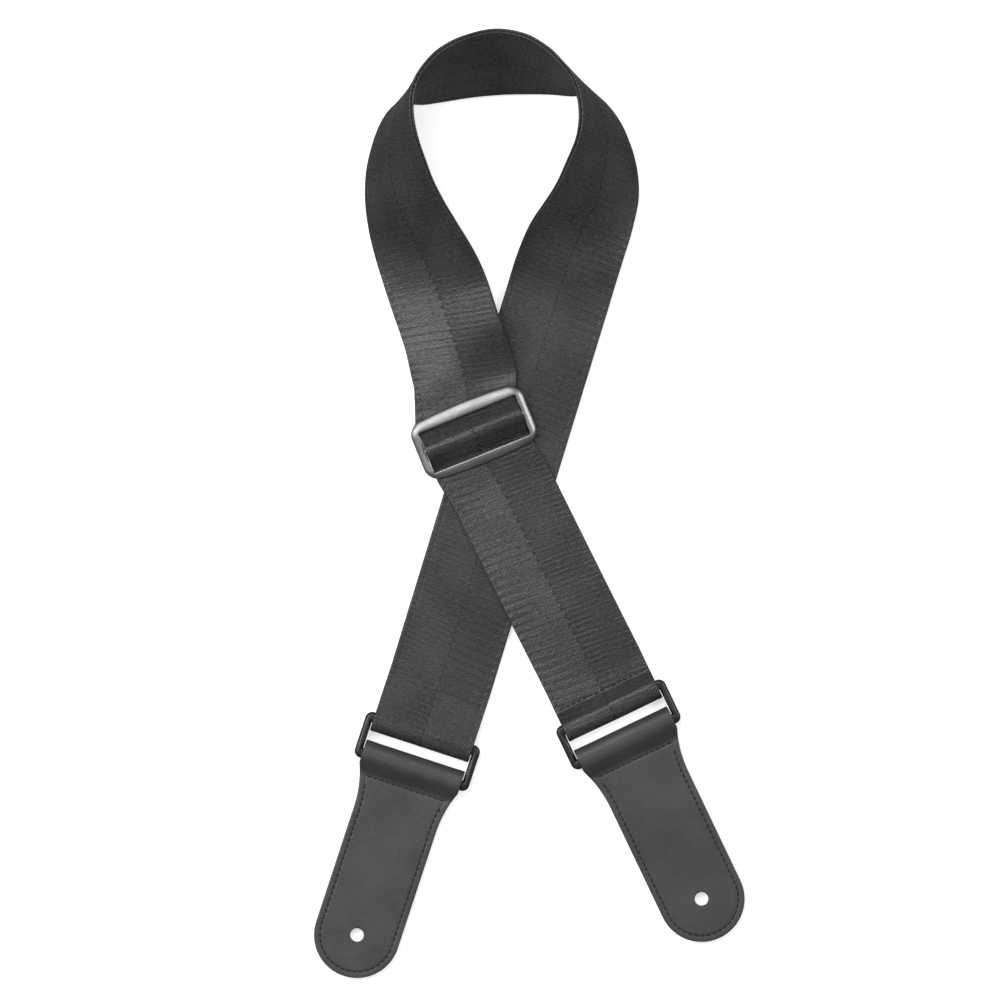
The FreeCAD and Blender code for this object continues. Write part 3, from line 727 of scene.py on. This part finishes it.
def on_path(run):
    """Place and outward direction on the tab's middle line, at a distance along it."""
    low, high = 0, len(tab_marks) - 1
    while high - low > 1:
        middle = (low + high) // 2
        if tab_marks[middle] <= run:
            low = middle
        else:
            high = middle
    step = tab_marks[high] - tab_marks[low]
    share = (run - tab_marks[low]) / step
    tangent = tab_path[min(high + 1, len(tab_path) - 1)] - tab_path[max(low - 1, 0)]
    tangent.normalize()
    return tab_path[low].lerp(tab_path[high], share), Vector((tangent.y, -tangent.x))


def tab_rows():
    """(outer point, inner point) in the flat pattern for one half, from the upper tip to the lower."""
    rows = []
    tip_steps = 26
    for number in range(tip_steps + 1):
        angle = math.pi / 2 * (1 - number / tip_steps)
        rows.append(((TAB_HALF * math.cos(angle), TAB_HALF * (1 - math.sin(angle))),
                     (HOLE_RADIUS * math.cos(angle), TAB_HALF - HOLE_RADIUS * math.sin(angle))))
    runs = [TAB_HALF + HOLE_RADIUS * math.sin(math.pi / 2 * number / 8) for number in range(1, 9)]
    while runs[-1] + 0.75 < TAB_RUN / 2:
        runs.append(runs[-1] + 0.75)
    for run in runs:
        beyond = run - TAB_HALF
        hole = math.sqrt(max(0.0, HOLE_RADIUS ** 2 - beyond ** 2))
        if hole < 1e-4:
            hole = 0.0
        rows.append(((tab_half_width(on_path(run)[0].x), run), (hole, run)))
    mirrored = []
    for outer, inner in rows[::-1]:
        mirrored.append(((outer[0], TAB_RUN - outer[1]), (inner[0], TAB_RUN - inner[1])))
    for number, (outer, inner) in enumerate(mirrored):
        if outer[1] < TAB_RUN - TAB_HALF:
            width = tab_half_width(on_path(outer[1])[0].x)
            mirrored[number] = ((width, outer[1]), inner)
    return rows + mirrored


EDGE_MARKS = [0.0, 0.1, 0.3, 0.6, 1.0, 1.6, 2.1, 2.45, 2.75, 3.0, 3.25, 3.55, 3.9, 4.5]


def rounded(edge, radius):
    """How far a rounded edge falls below the face, at a distance from it."""
    if edge >= radius:
        return 0.0
    return radius - math.sqrt(max(0.0, radius ** 2 - (radius - edge) ** 2))


def tab_skin(across, run, edge, side, turn):
    """Height of a tab's face above the ply's middle; side is 1 outside and -1 between the plies."""
    hole = math.hypot(across, min(run, TAB_RUN - run) - TAB_HALF) - HOLE_RADIUS
    high = LEATHER / 2 - rounded(edge, 0.55) - rounded(max(hole, 0.0), 0.4)
    if side < 0:
        return -high
    reach = on_path(run)[0].x
    if reach > SEAM_START - 1.5:
        high -= 0.22 * math.exp(-((edge - SEAM_INSET) / 0.42) ** 2)
    if edge > 2.0:
        high -= 0.25 * math.exp(-((reach - TAB_SEAM_REACH) / 0.6) ** 2) if reach > 0 else 0.0
    spot = Vector((across * 0.11, run * 0.08, turn))
    from_edge = min(1.0, edge / 5.0)
    return high - 0.12 * from_edge * (0.5 + 0.5 * noise.noise(spot))


def tab_mesh(name, bar, turn):
    """The whole folded tab: two halves that share their middle line, joined into one closed skin."""
    out = heading(turn)
    side_way = across_of(turn)
    rows = tab_rows()
    points = []
    uvs = []
    faces = []
    for hand in (1, -1):
        for side in (1, -1):
            for outer, inner in rows:
                span = math.hypot(outer[0] - inner[0], outer[1] - inner[1])
                marks = list(EDGE_MARKS)
                free = span - 1.6 - EDGE_MARKS[-1]
                marks += [EDGE_MARKS[-1] + free * part / 11 for part in range(1, 12)]
                marks += [span - back for back in (1.0, 0.55, 0.25, 0.08, 0.0)]
                for mark in marks:
                    share = mark / span
                    across = hand * (outer[0] + (inner[0] - outer[0]) * share)
                    run = outer[1] + (inner[1] - outer[1]) * share
                    middle, away = on_path(run)
                    high = tab_skin(across, run, mark, side, turn)
                    spot = middle + away * high
                    points.append(bar + out * spot.x + side_way * across + Vector((0, 0, spot.y)))
                    uvs.append((across * 0.02, run * 0.02))
    columns = len(EDGE_MARKS) + 16
    count = len(rows) * columns

    def index(hand, side, row, column):
        return (hand * 2 + side) * count + row * columns + column

    for hand in (0, 1):
        for row in range(len(rows) - 1):
            for side in (0, 1):
                for column in range(columns - 1):
                    faces.append((index(hand, side, row, column), index(hand, side, row, column + 1),
                                  index(hand, side, row + 1, column + 1), index(hand, side, row + 1, column)))
            ends = [0]
            if rows[row][1][0] > 0 or rows[row + 1][1][0] > 0:
                ends.append(columns - 1)
            for column in ends:
                faces.append((index(hand, 0, row, column), index(hand, 0, row + 1, column),
                              index(hand, 1, row + 1, column), index(hand, 1, row, column)))
    thing = new_object(name, points, faces, uvs)
    joined = bmesh.new()
    joined.from_mesh(thing.data)
    bmesh.ops.remove_doubles(joined, verts=joined.verts, dist=2e-6)
    bmesh.ops.recalc_face_normals(joined, faces=joined.faces)
    joined.to_mesh(thing.data)
    joined.free()
    return thing


def stitch_marks(line, count):
    """Middle and direction of `count` stitches of equal pitch along a line of points."""
    marks = [0.0]
    for before, after in zip(line, line[1:]):
        marks.append(marks[-1] + (after - before).length)

    def at(distance):
        for number in range(1, len(marks)):
            if marks[number] >= distance:
                share = (distance - marks[number - 1]) / (marks[number] - marks[number - 1])
                return line[number - 1].lerp(line[number], share)
        return line[-1].copy()

    pitch = marks[-1] / count
    found = []
    for number in range(count):
        middle = at(pitch * (number + 0.5))
        along = (at(pitch * (number + 1)) - at(pitch * number)).normalized()
        found.append((middle, along))
    return found


STITCH_LONG = 2.5
THREAD = 0.34


def thread_mesh(name, stitches):
    """One arched length of thread for each (middle, along, up) stitch, with its ends sunk in the face."""
    points = []
    faces = []
    sections = 9
    around = 8
    for middle, along, up in stitches:
        first = len(points)
        side = up.cross(along).normalized()
        for section in range(sections):
            travel = math.cos(math.pi * section / (sections - 1))
            rise = 0.16 - 0.42 * travel ** 4
            radius = THREAD * (1 - 0.5 * travel ** 6)
            centre = middle - along * (STITCH_LONG / 2 * travel) + up * rise
            for step in range(around):
                angle = 2 * math.pi * step / around
                points.append(centre + (side * math.cos(angle) + up * math.sin(angle)) * radius)
        for section in range(sections - 1):
            for step in range(around):
                beside = (step + 1) % around
                low = first + section * around
                faces.append((low + step, low + beside, low + around + beside, low + around + step))
        last = first + (sections - 1) * around
        faces.append(tuple(first + step for step in range(around)))
        faces.append(tuple(last + step for step in range(around)))
    return new_object(name, points, faces)


def in_tab(bar, turn, spot, height):
    return bar + heading(turn) * spot.y + across_of(turn) * spot.x + Vector((0, 0, height))


UP = Vector((0, 0, 1))
TAB_FACE = -BAR_WRAP + (PITCH - PLY) + LEATHER
TAB_UNDERSIDE = -BAR_WRAP - LEATHER
STITCH_SUNK = 0.2
UNDER_STITCH_SUNK = 0.42


def tab_pieces(hand, centre, ring_turn):
    bar = centre - heading(ring_turn) * (BAR_SPACING / 2)
    turn = ring_turn + 180.0
    body = f"{hand}_tab"
    leather = tab_mesh(f"tab_{hand}_leather", bar, turn)
    place(leather, body, "tab_leather", [f"tab_{hand}"], leather_look)
    slim = TAB_HALF - SEAM_INSET
    line = []
    reach = -FOLD_TIP
    while reach < HOLE_REACH:
        line.append(Vector((tab_half_width(reach, SEAM_INSET), reach, 0)))
        reach += 0.4
    for number in range(0, 91):
        angle = math.pi * number / 90
        line.append(Vector((slim * math.cos(angle), HOLE_REACH + slim * math.sin(angle), 0)))
    line += [Vector((-spot.x, spot.y, 0)) for spot in line[:-91][::-1]]
    length = sum((b - a).length for a, b in zip(line, line[1:]))
    found = stitch_marks(line, round(length / STITCH_PITCH))
    edge = []
    for middle, along in found:
        if middle.y >= SEAM_START:
            way = heading(turn) * along.y + across_of(turn) * along.x
            edge.append((in_tab(bar, turn, middle, TAB_FACE - STITCH_SUNK), way, UP))
            edge.append((in_tab(bar, turn, middle, TAB_UNDERSIDE + UNDER_STITCH_SUNK), way, -UP))
    seam = thread_mesh(f"tab_{hand}_edge_stitching", edge)
    place(seam, body, "tab_thread", [f"tab_{hand}_edge_seam"], thread_look)
    half = TAB_HALF - 1.0
    across_line = [Vector((-half, TAB_SEAM_REACH, 0)), Vector((half, TAB_SEAM_REACH, 0))]
    found = stitch_marks(across_line, round(2 * half / STITCH_PITCH))
    row = []
    for middle, along in found:
        row.append((in_tab(bar, turn, middle, TAB_FACE - STITCH_SUNK), across_of(turn), UP))
        row.append((in_tab(bar, turn, middle, TAB_UNDERSIDE + UNDER_STITCH_SUNK), across_of(turn), -UP))
    cross = thread_mesh(f"tab_{hand}_fold_stitching", row)
    place(cross, body, "tab_thread", [f"tab_{hand}_fold_seam"], thread_look)
    return leather, seam, cross


def webbing_seam(name, body, node, origin, turn, reach, height):
    half = WIDTH / 2 - 2.0
    line = [Vector((-half, reach, 0)), Vector((half, reach, 0))]
    found = stitch_marks(line, round(2 * half / STITCH_PITCH))
    row = []
    for number, (middle, along) in enumerate(found):
        sway = math.radians(5.0) * (-1) ** number
        way = across_of(turn) * math.cos(sway) + heading(turn) * math.sin(sway)
        spot = origin + heading(turn) * middle.y + across_of(turn) * middle.x
        row.append((Vector((spot.x, spot.y, height)), way, UP))
    thing = thread_mesh(name, row)
    return place(thing, body, "webbing_thread", [node], thread_look)


tab_right = tab_pieces("right", RING_RIGHT_AT, RING_RIGHT_TURN)
tab_left = tab_pieces("left", RING_LEFT_AT, RING_LEFT_TURN)
ring_seam = webbing_seam("webbing_stitching_right", "webbing", "webbing_seam_right", right_bar,
                         RING_RIGHT_TURN, SEAM_REACH, fold_strand_height + PLY / 2 - 0.08)
loop_seam = webbing_seam("webbing_stitching_slider", "slider", "webbing_seam_slider", SLIDER_AT,
                         SLIDER_TURN, LOOP_SEAM, CROSSING_PLY + PITCH + PLY / 2 - 0.08)

# ------------------------------------------------------------------ slider
SLIDER_HALF_LONG = 29.0
SLIDER_HALF_HIGH = 15.8
SLIDER_BOW = 1.6
SLIDER_THICK = 2.6
SLIDER_CORNER = 6.5
SLIDER_WINDOW_HALF = 25.1
SLIDER_TOP_BAR = 6.3
SLIDER_BOTTOM_BAR = 4.8
SLIDER_BAR = 3.2
SLIDER_TILT = math.radians(5.0)
BAR_IN_RIM = 1.2


def rounded_corner(centre, radius, start, steps):
    """Points on a quarter circle from the angle `start` (degrees) on, anticlockwise."""
    found = []
    for step in range(steps + 1):
        angle = math.radians(start + 90.0 * step / steps)
        found.append(Vector((centre[0] + radius * math.cos(angle), centre[1] + radius * math.sin(angle))))
    return found


def frame_loop(left, right, bottom, top, radius, bow, steps=10, along=24):
    """A rounded rectangle, anticlockwise from its right side's top, with its long sides bowed out."""
    corners = [((right - radius, top - radius), 0), ((left + radius, top - radius), 90),
               ((left + radius, bottom + radius), 180), ((right - radius, bottom + radius), 270)]
    loop = []
    for number, (centre, start) in enumerate(corners):
        arc = rounded_corner(centre, radius, start, steps)
        following, after = corners[(number + 1) % 4]
        goal = rounded_corner(following, radius, after, steps)[0]
        loop += arc
        for part in range(1, along):
            loop.append(arc[-1].lerp(goal, part / along))
    half = (right - left) / 2
    for point in loop:
        swell = bow * (1.0 - (min(abs(point.x), half) / half) ** 2)
        level = (top + bottom) / 2
        reach = min(1.0, abs(point.y - level) / ((top - bottom) / 2))
        point.y += math.copysign(swell * reach, point.y - level)
    return loop


# Rim of the slider from its window out: share of the way across a rim, and share of half the thickness.
SLIDER_PROFILE = [
    (0.0, -0.72), (0.0, 0.0), (0.0, 0.62), (0.02, 0.82), (0.06, 0.94), (0.11, 0.99), (0.18, 1.0),
    (0.38, 0.93), (0.55, 0.78), (0.70, 0.58), (0.84, 0.34), (0.94, 0.10), (1.0, -0.22), (0.985, -0.6),
    (0.93, -0.86), (0.82, -1.0), (0.18, -1.0), (0.06, -0.92),
]


def slider_mesh():
    """The slider's rim as one closed band, and its middle bar with both ends inside the rim."""
    top = SLIDER_HALF_HIGH - SLIDER_BOW
    outer = frame_loop(-SLIDER_HALF_LONG, SLIDER_HALF_LONG, -top, top, SLIDER_CORNER, SLIDER_BOW)
    inner = frame_loop(-SLIDER_WINDOW_HALF, SLIDER_WINDOW_HALF, SLIDER_BOTTOM_BAR - SLIDER_HALF_HIGH,
                       SLIDER_HALF_HIGH - SLIDER_TOP_BAR, 0.8, 0.0)
    points = []
    for inside, outside in zip(inner, outer):
        for share, rise in SLIDER_PROFILE:
            flat = inside.lerp(outside, share)
            points.append(Vector((flat.x, flat.y, rise * SLIDER_THICK / 2)))
    ring = len(SLIDER_PROFILE)
    faces = []
    for row in range(len(inner)):
        low, high = row * ring, (row + 1) % len(inner) * ring
        for column in range(ring):
            beside = (column + 1) % ring
            faces.append((low + column, low + beside, high + beside, high + column))
    first = len(points)
    around = 20
    buried = SLIDER_WINDOW_HALF + BAR_IN_RIM
    reaches = (-buried, -SLIDER_WINDOW_HALF, 0.0, SLIDER_WINDOW_HALF, buried)
    for reach in reaches:
        for step in range(around):
            angle = 2 * math.pi * step / around
            flat = Vector((abs(math.cos(angle)) ** 0.7, abs(math.sin(angle)) ** 0.7))
            y = math.copysign(flat.x * SLIDER_BAR / 2, math.cos(angle))
            z = math.copysign(flat.y * SLIDER_THICK / 2, math.sin(angle))
            points.append(Vector((reach, y, z)))
    for section in range(len(reaches) - 1):
        for step in range(around):
            beside = (step + 1) % around
            low = first + section * around
            faces.append((low + step, low + beside, low + around + beside, low + around + step))
    faces.append(tuple(first + step for step in range(around)))
    faces.append(tuple(len(points) - around + step for step in range(around)))
    turn = Matrix.Rotation(math.radians(SLIDER_TURN), 3, "Z") @ Matrix.Rotation(SLIDER_TILT, 3, "X")
    return new_object("slider_cast_frame", [SLIDER_AT + turn @ point for point in points], faces)


slider_piece = place(slider_mesh(), "slider", "slider_metal", ["slider_frame"], metal_look)

# ------------------------------------------------------------------ rings kept from the CAD
for node in ("ring_right", "ring_left"):
    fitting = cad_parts[node]
    fitting.data.materials.clear()
    fitting.data.materials.append(plastic_look)

# ------------------------------------------------------------------ floor and light
floor_mesh = bpy.data.meshes.new("floor")
floor_mesh.from_pydata([(-3, -3, 0), (3, -3, 0), (3, 3, 0), (-3, 3, 0)], [], [(0, 1, 2, 3)])
floor = bpy.data.objects.new("floor", floor_mesh)
floor.location.z = -0.0002
bpy.context.scene.collection.objects.link(floor)
floor_look = Shader("floor", (0.8, 0.8, 0.8), 0.9, Emission_Strength=0.6)
floor_look.surface.inputs["Emission Color"].default_value = (1, 1, 1, 1)
floor_mesh.materials.append(floor_look.material)
floor.visible_diffuse = False
floor.visible_glossy = False

world = bpy.data.worlds.new("studio")
world.use_nodes = True
world.node_tree.nodes["Background"].inputs["Color"].default_value = (1, 1, 1, 1)
world.node_tree.nodes["Background"].inputs["Strength"].default_value = 0.2
bpy.context.scene.world = world


def area_light(name, where, aim, width, height, power):
    data = bpy.data.lights.new(name, "AREA")
    data.shape = "RECTANGLE"
    data.size = width
    data.size_y = height
    data.energy = power
    lamp = bpy.data.objects.new(name, data)
    lamp.visible_camera = False
    lamp.location = where
    lamp.rotation_euler = (Vector(aim) - Vector(where)).to_track_quat("-Z", "Y").to_euler()
    bpy.context.scene.collection.objects.link(lamp)
    return lamp


area_light("softbox", (-0.5, 0.45, 1.5), (0, 0, 0), 1.3, 0.8, 15.5)
area_light("left_box", (-1.15, 0.1, 1.0), (-0.05, 0.05, 0.02), 0.6, 0.5, 7.0)
area_light("right_box", (1.05, 0.25, 1.0), (0.03, 0.1, 0.02), 0.6, 0.5, 8.0)
bpy.context.scene.view_settings.view_transform = "Standard"
bpy.context.scene.view_settings.look = "None"
